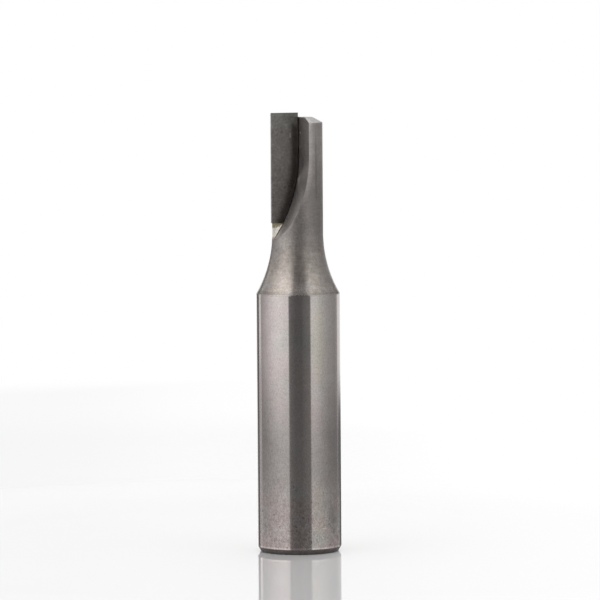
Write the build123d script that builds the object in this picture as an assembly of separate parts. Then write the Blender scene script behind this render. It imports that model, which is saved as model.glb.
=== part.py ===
from build123d import *

import math
import os

# Straight single-flute router bit: a turned steel body, a carbide tip seated in its gullet and
# the filler metal that joins them. Millimetres. The origin is the centre of the shank's end face
# and +Z runs up the axis to the cutting end. The cutting face lies in the XZ plane through the
# axis and looks along -Y, with its edge on the -X side, so the bit turns clockwise seen from
# the shank.

# Shank, held in the collet
SHANK_DIAMETER = 12.0
SHANK_LENGTH = 37.1
SHANK_CHAMFER_WIDTH = 0.45
SHANK_CHAMFER_HEIGHT = 0.74
SHOULDER_EDGE_RADIUS = 0.35

# Neck above the shank, joined to it by a concave flare
NECK_DIAMETER = 7.3
FLARE_RADIUS = 17.0
END_CHAMFER_WIDTH = 1.4
END_CHAMFER_HEIGHT = 0.75

# Carbide tip
OVERALL_LENGTH = 63.0
CUTTING_DIAMETER = 8.0
CUTTING_LENGTH = 15.8
TIP_THICKNESS = 1.6
TIP_STAND_OUT = 0.65  # how far the tip's end is above the body's end
TIP_HEEL_CHAMFER = 0.2
RADIAL_RELIEF = 18.0  # degrees
END_RELIEF = 6.0  # degrees

# Gullet, milled by the side of a disc cutter whose rim leaves the run-out curve
WALL_OFFSET = 0.3  # the wall stands this far past the axis
WALL_DRAFT = 2.0  # degrees by which the wall opens outwards
RUN_OUT_RADIUS = 20.0
RUN_OUT_BELOW_TIP = 2.3  # from the tip's lower end to where the curve leaves the neck

# Filler metal
BRAZE_THICKNESS = 0.1  # between the tip's back and its seat
BRAZE_SIDE_GAP = 0.14  # between the tip's inner side and the gullet's wall
BRAZE_RECESS = 0.08  # its surface lies this far behind the cutting face
POOL_HOLLOW_RADIUS = 3.5
POOL_HOLLOW_DEPTH = 0.22
POOL_CENTRE_INSET = 1.0  # from the neck's surface

CUT_CLEARANCE = 3.0  # how far cutting tools run past the material

shank_radius = SHANK_DIAMETER / 2
neck_radius = NECK_DIAMETER / 2
cutting_radius = CUTTING_DIAMETER / 2
body_end = OVERALL_LENGTH - TIP_STAND_OUT
tip_bottom = OVERALL_LENGTH - CUTTING_LENGTH
seat_depth = TIP_THICKNESS + BRAZE_THICKNESS

# The flare is tangent to the neck and meets the shank at the shoulder.
flare_step = shank_radius - neck_radius
flare_height = math.sqrt(FLARE_RADIUS**2 - (FLARE_RADIUS - flare_step) ** 2)
flare_top = SHANK_LENGTH + flare_height

# The run-out starts tangent to the wall and crosses the neck's far side below the tip.
run_out_exit = tip_bottom - RUN_OUT_BELOW_TIP
run_out_centre_x = WALL_OFFSET - RUN_OUT_RADIUS
run_out_drop = math.sqrt(RUN_OUT_RADIUS**2 - (neck_radius + run_out_centre_x) ** 2)
run_out_start = run_out_exit + run_out_drop
cut_reach = shank_radius + CUT_CLEARANCE


def turned_blank():
    """The body as it leaves the lathe."""
    with BuildPart() as blank:
        with BuildSketch(Plane.XZ) as profile:
            with BuildLine():
                Polyline(
                    (0, 0),
                    (shank_radius - SHANK_CHAMFER_WIDTH, 0),
                    (shank_radius, SHANK_CHAMFER_HEIGHT),
                    (shank_radius, SHANK_LENGTH),
                )
                TangentArc(
                    (neck_radius, flare_top),
                    (shank_radius, SHANK_LENGTH),
                    tangent=(0, -1),
                )
                Polyline(
                    (neck_radius, flare_top),
                    (neck_radius, body_end - END_CHAMFER_HEIGHT),
                    (neck_radius - END_CHAMFER_WIDTH, body_end),
                    (0, body_end),
                    (0, 0),
                )
            make_face()
            shoulder = profile.vertices().sort_by_distance((shank_radius, SHANK_LENGTH))[0]
            fillet(shoulder, SHOULDER_EDGE_RADIUS)
        revolve(axis=Axis.Z)
    return blank.part


def gullet_outline(inset=0.0):
    """What the gullet opens, seen along the cutting face's normal, held back from its wall by inset."""
    radius = RUN_OUT_RADIUS - inset
    sweep = math.degrees(math.acos((-cut_reach - run_out_centre_x) / radius))
    top = OVERALL_LENGTH + CUT_CLEARANCE
    with BuildSketch(Plane.XZ) as outline:
        with BuildLine():
            run_out = CenterArc((run_out_centre_x, run_out_start), radius, 0, -sweep)
            Polyline(
                run_out @ 1,
                (-cut_reach, top),
                (WALL_OFFSET - inset, top),
                run_out @ 0,
            )
        make_face()
    return outline.sketch


def tip_pocket():
    """The straight-sided seat behind the cutting face."""
    return extrude(gullet_outline(), amount=-seat_depth)


def open_gullet():
    """The chip space in front of the cutting face."""
    return extrude(gullet_outline(), amount=cut_reach, taper=-WALL_DRAFT)


def carbide_tip():
    """The tip, whose inner side follows the run-out and whose flank and end are ground back."""
    with BuildSketch(Plane.XZ) as face:
        with Locations((-cutting_radius, tip_bottom)):
            Rectangle(CUTTING_DIAMETER, CUTTING_LENGTH, align=(Align.MIN, Align.MIN))
        heel = face.vertices().group_by(Axis.X)[0].sort_by(Axis.Y)[0]
        chamfer(heel, TIP_HEEL_CHAMFER)
    blank = extrude(face.sketch & gullet_outline(BRAZE_SIDE_GAP), amount=-TIP_THICKNESS)
    flank_angle = math.radians(RADIAL_RELIEF)
    flank = Plane(
        origin=(-cutting_radius, 0, 0),
        x_dir=(0, 0, 1),
        z_dir=(-math.cos(flank_angle), math.sin(flank_angle), 0),
    )
    end_angle = math.radians(END_RELIEF)
    end = Plane(
        origin=(0, 0, OVERALL_LENGTH),
        x_dir=(1, 0, 0),
        z_dir=(0, math.sin(end_angle), math.cos(end_angle)),
    )
    return blank.split(flank, Keep.BOTTOM).split(end, Keep.BOTTOM)


def braze_joint(blank, tip):
    """The filler around the tip and the small pool below it, flush with the turned surface."""
    filler = Pos(0, BRAZE_RECESS, 0) * extrude(
        gullet_outline(), amount=BRAZE_RECESS - seat_depth
    )
    pool_centre = Pos(
        -neck_radius + POOL_CENTRE_INSET,
        BRAZE_RECESS + POOL_HOLLOW_DEPTH - POOL_HOLLOW_RADIUS,
        (tip_bottom + run_out_exit) / 2,
    )
    return (blank & filler) - tip - pool_centre * Sphere(POOL_HOLLOW_RADIUS)


blank = turned_blank()
tip = carbide_tip()

parts = {
    "body": blank - tip_pocket() - open_gullet(),
    "carbide_tip": tip,
    "braze_joint": braze_joint(blank, tip),
}

os.makedirs("parts", exist_ok=True)
for name, part in parts.items():
    export_step(part, f"parts/{name}.step")
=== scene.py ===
import math
from types import SimpleNamespace

import bpy
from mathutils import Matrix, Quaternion, Vector

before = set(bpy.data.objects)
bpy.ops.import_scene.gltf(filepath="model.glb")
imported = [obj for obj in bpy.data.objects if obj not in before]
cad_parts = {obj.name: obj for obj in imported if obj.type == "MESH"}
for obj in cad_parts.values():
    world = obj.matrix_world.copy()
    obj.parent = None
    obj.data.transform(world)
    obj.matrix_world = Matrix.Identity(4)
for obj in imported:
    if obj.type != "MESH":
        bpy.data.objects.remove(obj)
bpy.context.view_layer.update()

# The photograph's view. The camera stands well back with a long lens, a little above the bit's end.
IMAGE_SIDE = 600  # pixels
VIEW_AZIMUTH = -20.9  # degrees
CAMERA_DISTANCE = 0.674
CAMERA_HEIGHT = 0.0816
METRES_PER_PIXEL = 0.0001431
AIM_HEIGHT = 0.03612  # the height on the axis that lies in the middle of the image
AXIS_LEFT_OF_MIDDLE = 1.9  # pixels
ROLL = -0.384  # degrees
SENSOR_WIDTH = 36.0
CLIP_NEAR, CLIP_FAR = 0.01, 20.0

# The studio, in metres. Bearings are degrees round the bit, 0 towards the camera, 90 to its right.
FLOOR_HALF = 1.0
FLOOR_BACK = 0.304
PANEL_DISTANCE = 0.6
PANEL_BOTTOM, PANEL_TOP = -0.30, 1.1
PANEL_BLEND = 0.010  # the height over which one glow gives way to the next
LOW_GLOW_TOP = -0.0625
MIRRORED_BOTTOM, MIRRORED_TOP = 0.062, 0.094  # what the mirror image in the floor reflects
MIRRORED_EDGE = 0.004
HIGH_GLOW = (0.10, 0.30)
CROWN_BOTTOM, CROWN_BLEND = 0.31, 0.09
OVERHEAD_GLOW = 1.7
OVERHEAD_GAP = 0.02  # between the tops of the panels and the one overhead

# The panels' stops. Each is a bearing, four glows from high up to the bottom and a height, as
# add_panel says.
LEFT_SOFTBOX = (
    (-19, 0.10, 0.22, 0.21, 0.22, -0.036),
    (-25.5, 0.62, 0.30, 0.26, 0.28, -0.036),
    (-27.5, 1.16, 1.15, 0.51, 0.78, -0.033),
    (-36, 1.26, 1.19, 0.51, 0.82, -0.033),
    (-46, 1.38, 1.29, 0.50, 0.82, -0.033),
    (-56, 1.45, 1.36, 0.47, 0.80, -0.033),
    (-75, 1.20, 1.18, 0.40, 0.76, -0.033),
    (-98, 0.80, 0.83, 0.35, 0.68, -0.030),
    (-125, 0.50, 0.50, 0.34, 0.60, -0.026),
)
LEFT_GAP = (
    (-126, 0.40, 1.05, 0.56, 0.66, -0.020),
    (-137, 0.40, 1.05, 0.56, 0.66, -0.020),
)
LEFT_FLAG = (
    (-139, 0.40, 0.18, 0.18, 0.18, -0.024),
    (-160, 0.40, 0.18, 0.18, 0.18, -0.024),
)
RIGHT_SOFTBOX = (
    (18, 0.10, 0.22, 0.21, 0.22, -0.040),
    (32.8, 0.20, 0.29, 0.25, 0.26, -0.040),
    (34.8, 0.86, 1.06, 0.45, 0.80, -0.036),
    (50, 0.95, 1.03, 0.43, 0.78, -0.034),
    (69, 0.77, 0.745, 0.33, 0.72, -0.033),
    (91, 0.59, 0.55, 0.26, 0.56, -0.032),
    (118, 0.40, 0.44, 0.25, 0.50, -0.032),
    (134, 0.34, 0.51, 0.25, 0.46, -0.032),
)
RIGHT_FLAG = (
    (135, 0.26, 1.00, 0.24, 0.45, -0.029),
    (150, 0.26, 1.00, 0.20, 0.38, -0.029),
    (158, 0.26, 1.00, 0.13, 0.12, -0.029),
    (164, 1.00, 1.00, 0.08, 0.06, -0.029),
    (176, 1.00, 1.00, 0.06, 0.06, -0.029),
)
FRONT_CARD = (
    (-19, 0.10, 0.22, 0.21, 0.22, -0.036),
    (-8, 0.04, 0.15, 0.18, 0.18, -0.036),
    (8, 0.04, 0.15, 0.18, 0.18, -0.036),
    (18, 0.10, 0.22, 0.21, 0.22, -0.036),
)

# The bit as part.py makes it, in millimetres
CHAMFER_HEIGHT = 0.74
SHOULDER_HEIGHT = 37.1
NECK_RADIUS = 3.65
GULLET_BOTTOM = 44.9
TIP_BOTTOM = 47.2
WALL_OFFSET = 0.3
WALL_SLOPE = math.tan(math.radians(2.0))
RUN_OUT_RADIUS = 20.0
RUN_OUT_START = 56.83

# The steel's colours
WHITE = (1.0, 1.0, 1.0)
STEEL_GREENER = (0.440, 0.432, 0.409)
STEEL_REDDER = (0.493, 0.437, 0.430)
WARM_ON_NECK = (1.045, 0.985, 0.91)
WARM_ON_SHANK = (1.06, 0.96, 0.955)
END_FACE_COLOUR = (0.57, 0.553, 0.542)
# A painted highlight on the gullet's rim
GULLET_RIM_HIGHLIGHT_COLOUR = (0.60, 0.58, 0.55)
SEAT_EDGE_COLOUR = (0.15, 0.10, 0.085)
CHAMFER_COLOUR = (0.14, 0.128, 0.122)

# Patches of the shank with a cast of their own: centre, half sizes and tint
CASTS = (
    ((0.9, -5.9, 30.5), (1.8, 2.6, 9.0), (0.985, 1.0, 0.93)),
    ((0.9, -5.9, 6.0), (1.8, 2.6, 8.0), (0.975, 1.0, 0.955)),
    ((-5.6, -2.1, 31.0), (1.8, 2.2, 9.0), (1.05, 1.0, 1.033)),
)
CAST_EDGE = 0.3

# What the steel's finish does by height on the bit, in millimetres. The neck is duller and darker,
# most of all beside the tip's lower end. The gullet wall's tone by height is painted light and
# shade, and the shine along the gullet's edge on the neck is a painted highlight.
WARMTH = (
    (0.0, 0.9), (7.0, 0.8), (10.5, 0.3), (14.0, 0.15), (22.0, 0.5), (36.9, 0.1), (37.3, 0.8),
    (43.0, 0.7), (46.0, 0.1), (62.0, 0.1),
)
NECK_TONE = (
    (37.0, 1.0), (38.2, 1.0), (39.7, 0.95), (42.0, 0.77), (44.3, 0.71), (47.0, 0.60),
    (48.5, 0.58), (50.0, 0.62), (53.0, 0.63), (55.5, 0.72), (58.3, 0.84), (60.7, 0.80),
    (61.3, 0.84), (61.45, 0.95), (61.7, 0.97),
)
# Painted light and shade on the gullet's wall, by height
WALL_PAINTED_LIGHT = (
    (44.0, 0.78), (46.9, 0.70), (48.4, 0.76), (50.0, 0.70), (52.0, 0.54), (53.0, 0.44),
    (55.5, 0.62), (57.0, 0.95), (58.3, 1.16), (61.0, 1.08),
)
NECK_EDGE_SHINE = (
    (45.2, 0.0), (45.8, 0.12), (46.5, 0.26), (47.5, 0.26), (48.4, 0.20), (49.5, 0.12),
    (51.0, 0.20), (52.5, 0.30), (56.0, 0.30), (58.0, 0.27), (61.6, 0.27),
)
GRAIN = ((36.9, 0.52), (37.3, 0.90), (46.0, 0.85), (50.0, 0.55), (62.0, 0.6))
STEEL_ROUGHNESS = (
    (36.9, 0.10), (37.1, 0.25), (39.7, 0.33), (42.0, 0.46), (46.0, 0.58), (50.0, 0.58),
    (61.0, 0.50),
)

# Rings round the steel that are lighter or darker: a painted highlight below the shoulder, painted
# shade just above it and a painted highlight along the chamfer's top edge. For each, where it
# starts, is full, fades and ends, and how much lighter it is
PAINTED_LIGHT_RINGS = (
    ((36.70, 36.85, 37.0, 37.06), 0.02),
    ((37.14, 37.22, 37.35, 37.80), -0.19),
    ((0.76, 0.80, 0.92, 1.05), 0.40),
)

# Lighter and darker marks: centre, half sizes, where the edge starts and how much lighter each is.
# The steel's fleck carries a painted glint, and the carbide's marks are painted light and shade.
STEEL_MARKS_AND_GLINT = (
    ((1.60, -5.78, 3.72), (0.85, 1.0, 0.09), 0.6, 0.35),  # a scratch near the shank's end
    ((0.32, -0.44, 60.1), (0.2, 0.28, 0.22), 0.6, 6.0),  # a fleck on the gullet's wall, its brightness a painted glint
    ((-3.3, -1.67, 44.9), (2.3, 2.3, 1.7), 0.0, 0.30),  # two pale patches at the gullet's foot
    ((-1.9, -3.1, 46.8), (1.6, 1.6, 2.0), 0.0, 0.22),
    ((0.53, -3.7, 44.2), (1.4, 1.4, 1.6), 0.0, -0.16),  # a darker patch to their right
    ((1.61, -3.28, 55.6), (0.32, 0.6, 7.0), 0.3, -0.22),  # a darker streak down the neck
    ((3.2, -5.1, 5.0), (1.7, 1.7, 2.8), 0.0, -0.26),  # a darker patch near the shank's end
)
CARBIDE_PAINTED_LIGHT = (
    ((-1.04, 0.0, 59.8), (0.15, 0.3, 0.45), 0.6, 0.9),  # a painted reflection of the wall's fleck on the face
    ((-1.2, 0.0, 62.3), (1.3, 2.0, 1.0), 0.2, -0.14),  # painted shade at the face's upper corner
    ((-0.3, 0.0, 61.75), (0.75, 2.0, 0.95), 0.0, 1.4),  # painted light in the inner corner by the wall
)

# The carbide's colours
CARBIDE_LOW = (0.110, 0.100, 0.095)
CARBIDE_HIGH = (0.128, 0.116, 0.108)
CARBIDE_END = (0.140, 0.138, 0.128)
GROUND_EDGE = (0.26, 0.255, 0.25)

# The filler's colours
FILLER_CRYSTALS = ((0.84, 0.78, 0.68), (0.99, 0.96, 0.90))
FILLER_BROWNED = (0.26, 0.23, 0.14)
FILLER_FOOT = (0.50, 0.42, 0.36)
# Painted shade for the filler in the gap beside the tip
FILLER_SHADE_BESIDE_TIP = (0.06, 0.05, 0.04)


def bearing(degrees):
    """Level unit vector at that bearing from the camera's side of the bit."""
    azimuth = math.radians(VIEW_AZIMUTH + degrees)
    return Vector((math.sin(azimuth), -math.cos(azimuth), 0.0))


def link_object(name, data):
    made = bpy.data.objects.new(name, data)
    bpy.context.scene.collection.objects.link(made)
    return made


def add_camera():
    """The camera at the photograph's viewing angle."""
    data = bpy.data.cameras.new("camera")
    data.sensor_width = SENSOR_WIDTH
    data.lens = SENSOR_WIDTH * CAMERA_DISTANCE / (METRES_PER_PIXEL * IMAGE_SIDE)
    data.clip_start, data.clip_end = CLIP_NEAR, CLIP_FAR
    camera = link_object("camera", data)
    camera.location = bearing(0) * CAMERA_DISTANCE + Vector((0, 0, CAMERA_HEIGHT))
    aim = Vector((0, 0, AIM_HEIGHT)) + bearing(90) * AXIS_LEFT_OF_MIDDLE * METRES_PER_PIXEL
    look = (aim - camera.location).to_track_quat("-Z", "Y")
    camera.rotation_mode = "QUATERNION"
    camera.rotation_quaternion = look @ Quaternion((0, 0, 1), math.radians(ROLL))
    bpy.context.scene.camera = camera


class Nodes:
    """A node tree with short calls for the nodes that the materials use."""

    def __init__(self, tree):
        self.tree = tree

    def add(self, kind, **settings):
        made = self.tree.nodes.new("ShaderNode" + kind)
        for name, value in settings.items():
            setattr(made, name, value)
        return made

    def put(self, value, socket):
        """Links an output, or sets a plain value, on an input socket."""
        if isinstance(value, bpy.types.NodeSocket):
            self.tree.links.new(value, socket)
        else:
            socket.default_value = value

    def show(self, output):
        """Makes that shader the material's surface."""
        self.put(output, self.tree.nodes["Material Output"].inputs["Surface"])

    def math(self, operation, *values):
        made = self.add("Math", operation=operation)
        for value, socket in zip(values, made.inputs):
            self.put(value, socket)
        return made.outputs[0]

    def product(self, result, *factors):
        for factor in factors:
            result = self.math("MULTIPLY", result, factor)
        return result

    def plus(self, base, value, factor=1.0):
        """The base and, on top of it, a value times a factor."""
        return self.math("MULTIPLY_ADD", value, factor, base)

    def outside(self, factor):
        """1 where the factor is 0, and 0 where it is 1."""
        return self.math("SUBTRACT", 1.0, factor)

    def larger(self, result, *values):
        for value in values:
            result = self.math("MAXIMUM", result, value)
        return result

    def vector_math(self, operation, a, b):
        made = self.add("VectorMath", operation=operation)
        self.put(a, made.inputs[0])
        self.put(b, made.inputs[1])
        return made.outputs["Value" if operation == "DOT_PRODUCT" else "Vector"]

    def length(self, vector):
        made = self.add("VectorMath", operation="LENGTH")
        self.put(vector, made.inputs[0])
        return made.outputs["Value"]

    def split(self, vector):
        made = self.add("SeparateXYZ")
        self.put(vector, made.inputs[0])
        return made.outputs

    def band(self, value, low, high, to_low=0.0, to_high=1.0):
        """Smooth step of value from low to high."""
        made = self.add("MapRange", interpolation_type="SMOOTHSTEP")
        self.put(value, made.inputs["Value"])
        self.put(low, made.inputs["From Min"])
        self.put(high, made.inputs["From Max"])
        self.put(to_low, made.inputs["To Min"])
        self.put(to_high, made.inputs["To Max"])
        return made.outputs["Result"]

    def stripe(self, value, start, full, fade, end):
        """1 between full and fade, falling smoothly to 0 at start and end."""
        return self.product(self.band(value, start, full), self.band(value, end, fade))

    def spot(self, place, centre, size, edge):
        """
        1 in the middle of a small spot at centre, whose half sizes are given, and 0 outside it.

        It starts to fall at that share of the way from the middle to the rim.
        """
        offset = self.vector_math("SUBTRACT", place, centre)
        return self.band(self.length(self.vector_math("DIVIDE", offset, size)), 1.0, edge)

    def spots(self, base, place, marks):
        """The base with marks on it, each a centre, half sizes, an edge and what it adds."""
        for centre, size, edge, lightness in marks:
            base = self.plus(base, self.spot(place, centre, size, edge), lightness)
        return base

    def profile(self, value, stops):
        """A number that follows the stops, each a value and what it gives, with straight runs."""
        low, high = stops[0][0], stops[-1][0]
        ramp = self.add("ValToRGB")
        elements = ramp.color_ramp.elements
        for index, (place, result) in enumerate(stops):
            position = (place - low) / (high - low)
            element = elements[index] if index < 2 else elements.new(position)
            element.position = position
            element.color = (result, result, result, 1)
        spread = self.add("MapRange")
        self.put(value, spread.inputs["Value"])
        self.put(low, spread.inputs["From Min"])
        self.put(high, spread.inputs["From Max"])
        self.put(spread.outputs["Result"], ramp.inputs[0])
        return ramp.outputs[0]

    def noise(self, place, scale, detail=3.0, roughness=0.5, offset=None):
        """Noise from 0 to 1, where scale is one number or one for each axis."""
        if offset is not None:
            place = self.vector_math("ADD", place, offset)
        if isinstance(scale, tuple):
            place, scale = self.vector_math("MULTIPLY", place, scale), 1.0
        made = self.add("TexNoise")
        self.put(place, made.inputs["Vector"])
        self.put(scale, made.inputs["Scale"])
        self.put(detail, made.inputs["Detail"])
        self.put(roughness, made.inputs["Roughness"])
        return made.outputs["Fac"]

    def swing(self, noise, amount):
        """Noise as a number round 0, at most half the amount either way."""
        return self.product(self.math("SUBTRACT", noise, 0.5), amount)

    def varied(self, noise, amount):
        """Noise as a factor round 1, at most half the amount either way."""
        return self.plus(1.0, self.math("SUBTRACT", noise, 0.5), amount)

    def between(self, factor, a, b):
        """Mixes two numbers."""
        made = self.add("Mix", data_type="FLOAT")
        for value, socket in ((factor, 0), (a, 2), (b, 3)):
            self.put(value, made.inputs[socket])
        return made.outputs[0]

    def mix(self, factor, a, b, blend="MIX"):
        """Mixes two colours, each an output or its red, green and blue."""
        made = self.add("Mix", data_type="RGBA", blend_type=blend)
        self.put(factor, made.inputs[0])
        for value, socket in ((a, 6), (b, 7)):
            self.put((*value, 1.0) if isinstance(value, tuple) else value, made.inputs[socket])
        return made.outputs[2]

    def tinted(self, colour, factor):
        """A colour times another colour or a number."""
        return self.mix(1.0, colour, factor, "MULTIPLY")

    def bump(self, height, strength, distance):
        made = self.add("Bump")
        self.put(height, made.inputs["Height"])
        self.put(strength, made.inputs["Strength"])
        self.put(distance, made.inputs["Distance"])
        return made.outputs["Normal"]


def new_material(name):
    material = bpy.data.materials.new(name)
    material.use_nodes = True
    return material, Nodes(material.node_tree), material.node_tree.nodes["Principled BSDF"]


def millimetres(nodes):
    """The point on the bit, in millimetres of its own frame."""
    place = nodes.add("TexCoord").outputs["Object"]
    return nodes.vector_math("MULTIPLY", place, (1000.0, 1000.0, 1000.0))


def beside_gullet(nodes, place):
    """How far the point lies from the gullet's wall on the steel's side, in millimetres."""
    x, y, z = nodes.split(place)
    across = nodes.math("SUBTRACT", x, WALL_OFFSET - RUN_OUT_RADIUS)
    below = nodes.math("MINIMUM", nodes.math("SUBTRACT", z, RUN_OUT_START), 0.0)
    squares = nodes.math("ADD", nodes.math("POWER", across, 2.0), nodes.math("POWER", below, 2.0))
    reach = nodes.math("SUBTRACT", nodes.math("SQRT", squares), RUN_OUT_RADIUS)
    return nodes.plus(reach, nodes.math("MINIMUM", y, 0.0), WALL_SLOPE)


def steel_areas(nodes):
    """The place on the body, and where finishes and painted light lie on it, as factors from 0 to
    1.
    """
    area = SimpleNamespace(place=millimetres(nodes))
    _, depth, height = nodes.split(area.place)
    area.height = height
    radius = nodes.length(nodes.vector_math("MULTIPLY", area.place, (1.0, 1.0, 0.0)))
    facing_up = nodes.split(nodes.add("TexCoord").outputs["Normal"])[2]

    area.shank = nodes.band(height, SHOULDER_HEIGHT + 0.05, SHOULDER_HEIGHT - 0.05)
    area.chamfer = nodes.band(height, CHAMFER_HEIGHT + 0.04, CHAMFER_HEIGHT - 0.04)
    area.end_face = nodes.product(nodes.band(facing_up, 0.3, 0.45), nodes.band(height, 60.0, 60.5))
    area.gullet = nodes.product(
        nodes.band(radius, NECK_RADIUS - 0.04, NECK_RADIUS - 0.14),
        nodes.band(height, GULLET_BOTTOM - 0.9, GULLET_BOTTOM - 0.5),
        nodes.outside(area.end_face),
    )

    # The gullet's rim at its lower end, a painted highlight, and the line that the light draws
    # along it on the neck, also a painted highlight
    area.gullet_edge = nodes.product(
        nodes.stripe(
            radius, NECK_RADIUS - 0.19, NECK_RADIUS - 0.13, NECK_RADIUS - 0.05, NECK_RADIUS - 0.02
        ),
        nodes.stripe(height, 45.4, 46.0, 48.0, 50.0),
    )
    line_width = nodes.band(height, 49.0, 52.5, 0.30, 0.95)
    area.neck_edge = nodes.product(
        nodes.stripe(beside_gullet(nodes, area.place), -0.03, 0.02, 0.10, line_width),
        nodes.band(depth, 0.2, -0.4),
        nodes.band(radius, NECK_RADIUS - 0.07, NECK_RADIUS - 0.03),
        nodes.profile(height, NECK_EDGE_SHINE),
    )

    # The edge of the tip's seat below the tip, and the wall where it faces the tip, lightened there
    # by painted light
    area.seat_edge = nodes.product(
        nodes.band(depth, -0.24, -0.12),
        nodes.band(height, TIP_BOTTOM + 0.4, TIP_BOTTOM - 0.4),
        area.gullet,
    )
    area.beside_tip = nodes.product(
        nodes.band(depth, -1.4, -0.15), nodes.band(height, 57.5, 55.5), area.gullet
    )

    # Stains reach up from the shank's end, here further and there less far
    ragged = nodes.noise(area.place, 0.5, 3.0, 0.6)
    reach = nodes.plus(nodes.math("SUBTRACT", height, 6.0), ragged, 12.0)
    area.stained = nodes.band(reach, 16.0, 2.0)
    return area


def steel_colour(nodes, area):
    """The steel's colour without its marks and stains; gullet rim and wall carry painted light and
    shade.
    """
    drift = nodes.noise(area.place, 0.16, 2.0, offset=(3.0, 8.0, 1.0))
    colour = nodes.mix(drift, STEEL_GREENER, STEEL_REDDER)
    warm = nodes.band(nodes.noise(area.place, 0.34, 2.0, offset=(5.0, 2.0, 9.0)), 0.36, 0.60)
    warm = nodes.product(warm, nodes.profile(area.height, WARMTH))
    tint = nodes.mix(area.shank, WARM_ON_NECK, WARM_ON_SHANK)
    colour = nodes.tinted(colour, nodes.mix(warm, WHITE, tint))
    for centre, size, cast in CASTS:
        patch = nodes.spot(area.place, centre, size, CAST_EDGE)
        colour = nodes.mix(patch, colour, nodes.tinted(colour, cast))
    # The gullet's wall takes painted light and shade by height
    neck, wall = nodes.profile(area.height, NECK_TONE), nodes.profile(area.height, WALL_PAINTED_LIGHT)
    colour = nodes.tinted(colour, nodes.between(area.gullet, neck, wall))
    colour = nodes.mix(area.end_face, colour, END_FACE_COLOUR)
    # A painted highlight on the gullet's rim
    colour = nodes.mix(nodes.product(area.gullet_edge, 0.6), colour, GULLET_RIM_HIGHLIGHT_COLOUR)
    colour = nodes.mix(nodes.product(area.seat_edge, 0.8), colour, SEAT_EDGE_COLOUR)
    return nodes.mix(area.chamfer, colour, CHAMFER_COLOUR)


def steel_painted_light_and_marks(nodes, area):
    """A factor round 1: painted light and shade at shoulder, chamfer, gullet and tip, and a few
    marks.
    """
    painted_light_factor = 1.0
    # Painted highlight and shade rings at the shoulder and along the chamfer's top edge
    for heights, lightness in PAINTED_LIGHT_RINGS:
        painted_light_factor = nodes.plus(painted_light_factor, nodes.stripe(area.height, *heights), lightness)
    patchy = nodes.band(nodes.noise(area.place, 0.35, 2.0), 0.35, 0.6, 0.7, 1.1)
    # Painted highlight along the gullet's edge on the neck
    painted_light_factor = nodes.plus(painted_light_factor, area.neck_edge, patchy)
    # Painted light on the wall where it faces the tip
    painted_light_factor = nodes.plus(painted_light_factor, area.beside_tip, 0.7)
    return nodes.spots(painted_light_factor, area.place, STEEL_MARKS_AND_GLINT)


def steel_mottling(nodes, area):
    """Two factors round 1: patches, strokes, smears and rings, and then grain and speckles."""
    place = area.place
    broad = nodes.varied(nodes.noise(place, 0.45), nodes.band(area.shank, 0.0, 1.0, 0.42, 0.24))
    strokes = nodes.noise(place, (0.9, 0.9, 5.0), 3.0, 0.6)
    broad = nodes.plus(broad, nodes.swing(strokes, nodes.band(area.shank, 0.0, 1.0, 0.36, 0.0)))
    smears = nodes.noise(place, (1.4, 1.4, 1.8), 2.0)
    on_flare = nodes.stripe(area.height, SHOULDER_HEIGHT, 37.4, 43.0, 46.0)
    broad = nodes.plus(broad, nodes.swing(smears, on_flare), 0.6)
    rings = nodes.noise(place, (0.25, 0.25, 7.0), 3.0, 0.6)
    rings = nodes.varied(rings, nodes.band(area.shank, 0.0, 1.0, 0.22, 0.12))

    coarse = nodes.plus(nodes.profile(area.height, GRAIN), area.stained, 0.70)
    grain = nodes.varied(nodes.noise(place, (4.2, 4.2, 3.0), 3.0, 0.65), coarse)
    blotches = nodes.noise(place, (1.7, 1.7, 1.3), 2.0)
    grain = nodes.plus(grain, nodes.swing(blotches, area.stained), 0.55)
    speckles = nodes.band(nodes.noise(place, 2.9, 2.0), 0.62, 0.70)
    speckled = nodes.larger(area.stained, nodes.band(area.shank, 0.0, 1.0, 0.0, 0.25))
    grain = nodes.plus(grain, nodes.product(speckles, speckled), -0.48)
    return nodes.product(broad, rings), grain


def steel_roughness(nodes, area):
    rough = nodes.profile(area.height, STEEL_ROUGHNESS)
    for factor, rougher in ((area.gullet, 0.12), (area.chamfer, 0.35), (area.stained, 0.03)):
        rough = nodes.plus(rough, factor, rougher)
    return nodes.product(rough, nodes.varied(nodes.noise(area.place, 1.1), 0.24))


def steel_relief(nodes, area):
    """Turning rings on the neck and flare, milling streaks in the gullet and pits in the stains."""
    turned = nodes.noise(area.place, (0.3, 0.3, 5.0), 2.0)
    turned = nodes.product(turned, nodes.outside(area.shank), nodes.outside(area.gullet))
    milled = nodes.product(nodes.noise(area.place, (0.6, 6.0, 0.4), 2.0), area.gullet)
    pits = nodes.product(nodes.noise(area.place, 4.0, 2.0), nodes.product(area.stained, 0.3))
    relief = nodes.plus(nodes.plus(turned, milled), pits)
    return nodes.bump(relief, strength=0.25, distance=0.00002)


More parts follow.
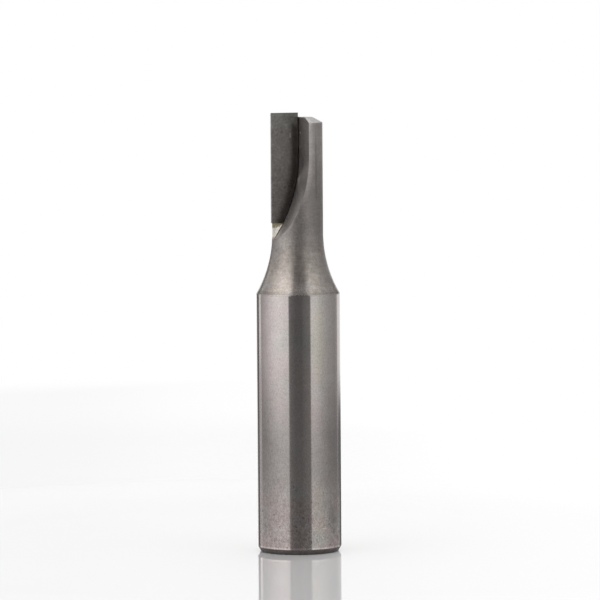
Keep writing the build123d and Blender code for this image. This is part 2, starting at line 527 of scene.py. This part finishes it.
def tool_steel():
    """Ground shank, turned flare, duller and darker neck, milled gullet, with painted light and
    shade.
    """
    material, nodes, shader = new_material("tool_steel_finish")
    area = steel_areas(nodes)
    patches, grain = steel_mottling(nodes, area)
    marks = nodes.product(patches, nodes.product(grain, steel_painted_light_and_marks(nodes, area)))
    scratched = nodes.noise(area.place, (4.0, 8.0, 4.0), 3.0, 0.7)
    marks = nodes.plus(marks, nodes.swing(scratched, nodes.product(area.end_face, 1.4)))
    nodes.put(nodes.tinted(steel_colour(nodes, area), marks), shader.inputs["Base Color"])
    nodes.put(steel_roughness(nodes, area), shader.inputs["Roughness"])
    nodes.put(steel_relief(nodes, area), shader.inputs["Normal"])
    shader.inputs["Metallic"].default_value = 1.0
    shader.inputs["Anisotropic"].default_value = 0.6
    shader.inputs["Anisotropic Rotation"].default_value = 0.25
    tangent = nodes.add("Tangent", direction_type="RADIAL", axis="Z")
    nodes.put(tangent.outputs[0], shader.inputs["Tangent"])
    return material


def carbide():
    """Fine-ground cemented carbide, a little lighter along its ground edge, with painted light and
    shade and a painted reflection on its face.
    """
    material, nodes, shader = new_material("carbide_finish")
    place = millimetres(nodes)
    across, _, height = nodes.split(place)
    colour = nodes.mix(nodes.band(height, 46.0, 62.0), CARBIDE_LOW, CARBIDE_HIGH)
    colour = nodes.mix(nodes.band(height, 60.0, 61.8), colour, CARBIDE_END)
    colour = nodes.mix(nodes.band(across, -3.80, -3.95, 0.0, 0.35), colour, GROUND_EDGE)
    marks = nodes.product(
        nodes.varied(nodes.noise(place, 0.9, 3.0, 0.6), 0.64),
        nodes.varied(nodes.noise(place, 2.8, 3.0, 0.6), 1.32),
        nodes.band(across, -1.2, -3.7, 0.94, 1.18),
    )
    # Painted shade, painted light and a painted reflection on the face
    marks = nodes.spots(marks, place, CARBIDE_PAINTED_LIGHT)
    nodes.put(nodes.tinted(colour, marks), shader.inputs["Base Color"])
    shader.inputs["Metallic"].default_value = 1.0
    uneven = nodes.varied(nodes.noise(place, 2.0), 0.30)
    rough = nodes.product(uneven, nodes.band(height, 52.0, 57.0, 0.28, 0.21))
    nodes.put(rough, shader.inputs["Roughness"])
    ground = nodes.noise(place, (8.0, 1.0, 0.7), 2.0)
    nodes.put(nodes.bump(ground, strength=0.12, distance=0.00001), shader.inputs["Normal"])
    return material


def silver_braze():
    """Filler as it flowed and froze: pale, crystalline, browned below the tip and at its foot, and
    painted near black as painted shade in the gap beside the tip.
    """
    material, nodes, shader = new_material("silver_braze_finish")
    place = millimetres(nodes)
    across, _, height = nodes.split(place)
    crystals = nodes.noise(place, 3.0, 3.0, 0.6)
    colour = nodes.mix(nodes.band(crystals, 0.35, 0.62), *FILLER_CRYSTALS)
    ragged = nodes.plus(nodes.plus(height, crystals, 2.0), across, -0.4)
    colour = nodes.mix(nodes.band(ragged, 48.72, 49.10), colour, FILLER_BROWNED)
    colour = nodes.mix(nodes.band(height, 45.45, 45.05), colour, FILLER_FOOT)
    # Painted shade: the filler in the gap beside the tip
    colour = nodes.mix(nodes.band(height, TIP_BOTTOM, 47.6), colour, FILLER_SHADE_BESIDE_TIP)
    nodes.put(colour, shader.inputs["Base Color"])
    shader.inputs["Metallic"].default_value = 0.8
    shader.inputs["Roughness"].default_value = 0.35
    meniscus = nodes.plus(crystals, across, 22.0)
    nodes.put(nodes.bump(meniscus, strength=1.0, distance=0.00005), shader.inputs["Normal"])
    return material


def glowing(name, brightness=None):
    """A material that glows with that brightness, or else as its mesh's glow attribute says."""
    material, nodes, shader = new_material(name)
    nodes.tree.nodes.remove(shader)
    if brightness is None:
        brightness = nodes.add("Attribute", attribute_name="glow").outputs["Fac"]
    emission = nodes.add("Emission")
    nodes.put(brightness, emission.inputs["Strength"])
    nodes.show(emission.outputs[0])
    return material


def add_light(name, mesh):
    """Stands a glowing mesh in the studio, where it doesn't show to the camera."""
    panel = link_object(name, mesh)
    panel.visible_camera = False


def add_panel(name, stops, high_glow=HIGH_GLOW, mirrored=None, crown=None):
    """
    A curved studio panel that lights the bit and shows in its reflections, but not to the camera.

    Each stop is a bearing, how brightly the panel glows there high up, above the table, just below
    it and at the bottom, and the height where above gives way to below. The glow turns into that
    of high up between the two heights of high_glow. Where mirrored is given, the stretch that the
    bit's mirror image in the floor reflects glows as the bottom does, times mirrored. Where crown
    is given, the panel glows that brightly over CROWN_BOTTOM.
    """
    points, glow = [], []
    for place, high, above, below, bottom, change in stops:
        top = high if crown is None else crown
        rows = [
            (PANEL_BOTTOM, bottom),
            (LOW_GLOW_TOP, bottom),
            (LOW_GLOW_TOP + PANEL_BLEND, below),
            (change - PANEL_BLEND / 2, below),
            (change + PANEL_BLEND / 2, above),
        ]
        if mirrored is not None:
            rows += [
                (MIRRORED_BOTTOM - MIRRORED_EDGE, above),
                (MIRRORED_BOTTOM, bottom * mirrored),
                (MIRRORED_TOP, bottom * mirrored),
                (MIRRORED_TOP + MIRRORED_EDGE, above),
            ]
        rows += [
            (high_glow[0], above),
            (high_glow[1], high),
            (CROWN_BOTTOM, high),
            (CROWN_BOTTOM + CROWN_BLEND, top),
            (PANEL_TOP, top),
        ]
        for height, brightness in rows:
            points.append(bearing(place) * PANEL_DISTANCE + Vector((0, 0, height)))
            glow.append(brightness)

    faces = []
    count = len(rows)
    for column in range(len(stops) - 1):
        for corner in range(count * column, count * (column + 1) - 1):
            faces.append((corner, corner + count, corner + count + 1, corner + 1))
    mesh = bpy.data.meshes.new(name)
    mesh.from_pydata(points, [], faces)
    mesh.attributes.new("glow", "FLOAT", "POINT").data.foreach_set("value", glow)
    mesh.materials.append(glowing(name + "_light"))
    add_light(name, mesh)


def add_overhead_softbox():
    """A level panel over the bit, which lights the floor to white."""
    half, height = PANEL_DISTANCE, PANEL_TOP + OVERHEAD_GAP
    corners = ((-half, -half), (half, -half), (half, half), (-half, half))
    mesh = bpy.data.meshes.new("overhead_softbox")
    mesh.from_pydata([(x, y, height) for x, y in corners], [], [(0, 1, 2, 3)])
    mesh.materials.append(glowing("overhead_light", OVERHEAD_GLOW))
    add_light("overhead_softbox", mesh)


def white_sheet():
    """
    The floor's sheet, in metres from the bit: glossy near it, and white further away and a little
    to its right, both to the camera and in what metal and glass show. The white to its right is
    painted light that also lifts the bit's shadow there, and the colour a little darker to its left
    is painted shade.
    """
    material, nodes, shader = new_material("white_sheet")
    place = nodes.add("TexCoord").outputs["Object"]
    distance = nodes.length(place)
    front = nodes.vector_math("DOT_PRODUCT", place, tuple(bearing(0)))
    aside = nodes.vector_math("DOT_PRODUCT", place, tuple(bearing(90)))
    rays = nodes.add("LightPath").outputs

    glossy = nodes.band(distance, 0.10, 0.055)
    nodes.put(nodes.product(glossy, 0.2), shader.inputs["Metallic"])
    nodes.put(nodes.product(glossy, 0.5), shader.inputs["Specular IOR Level"])
    # Painted shade: the sheet's colour is a little darker to the bit's left
    base = nodes.band(aside, -0.038, -0.018, 0.92, 0.945)
    base = nodes.plus(base, nodes.outside(glossy), 0.055)
    nodes.put(base, shader.inputs["Base Color"])
    shader.inputs["Roughness"].default_value = 0.05

    far = nodes.larger(
        nodes.band(distance, 0.055, 0.10, 0.0, 0.5), nodes.band(distance, 0.11, 0.24)
    )
    far = nodes.product(far, nodes.band(aside, -0.055, 0.0, 0.45, 1.0))
    far = nodes.larger(
        far,
        nodes.band(distance, 0.24, 0.30),
        nodes.band(nodes.math("ABSOLUTE", aside), 0.065, 0.12),
        nodes.band(front, 0.06, 0.12),
    )
    # Painted light: a glow lightens the sheet and the bit's shadow to the bit's right
    painted_light_to_right = nodes.band(aside, -0.010, 0.05, 0.0, 0.8)
    seen = nodes.larger(
        rays["Is Camera Ray"], rays["Is Glossy Ray"], rays["Is Transmission Ray"]
    )
    whiter = nodes.product(nodes.math("MINIMUM", nodes.plus(far, painted_light_to_right), 1.0), seen)
    fade = nodes.add("MixShader")
    nodes.put(whiter, fade.inputs[0])
    nodes.put(shader.outputs[0], fade.inputs[1])
    nodes.put(nodes.add("Emission").outputs[0], fade.inputs[2])

    # Away from its end the bit reflects the panels below the sheet's level in place of the sheet
    beyond = nodes.larger(nodes.band(distance, 0.0078, 0.0115), nodes.band(front, 0.0, -0.006))
    blend = nodes.add("MixShader")
    nodes.put(nodes.product(beyond, rays["Is Glossy Ray"]), blend.inputs[0])
    nodes.put(fade.outputs[0], blend.inputs[1])
    nodes.put(nodes.add("BsdfTransparent").outputs[0], blend.inputs[2])
    nodes.show(blend.outputs[0])
    return material


def add_floor():
    """The sheet that the bit stands on. It ends behind the bit, where the white studio shows."""
    corners = (
        (-FLOOR_HALF, -FLOOR_HALF),
        (-FLOOR_HALF, FLOOR_HALF),
        (FLOOR_BACK, FLOOR_HALF),
        (FLOOR_BACK, -FLOOR_HALF),
    )
    points = [bearing(180) * back + bearing(90) * side for back, side in corners]
    mesh = bpy.data.meshes.new("floor")
    mesh.from_pydata(points, [], [(0, 1, 2, 3)])
    mesh.materials.append(white_sheet())
    link_object("floor", mesh)


def add_world():
    """The white studio all round."""
    world = bpy.data.worlds.new("studio")
    bpy.context.scene.world = world
    world.use_nodes = True
    background = world.node_tree.nodes["Background"]
    background.inputs["Color"].default_value = (1, 1, 1, 1)
    background.inputs["Strength"].default_value = 1.0


add_camera()
add_world()
add_floor()
add_panel("left_softbox", LEFT_SOFTBOX, mirrored=0.68)
add_panel("left_gap", LEFT_GAP)
add_panel("left_flag", LEFT_FLAG)
add_panel("right_softbox", RIGHT_SOFTBOX, mirrored=0.57)
add_panel("right_flag", RIGHT_FLAG, high_glow=(0.045, 0.09), crown=1.0)
add_panel("front_card", FRONT_CARD, mirrored=1.58)
add_overhead_softbox()

finishes = {"body": tool_steel(), "carbide_tip": carbide(), "braze_joint": silver_braze()}
for node, finish in finishes.items():
    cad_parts[node].material_slots[0].material = finish

bpy.context.scene.view_settings.view_transform = "Standard"
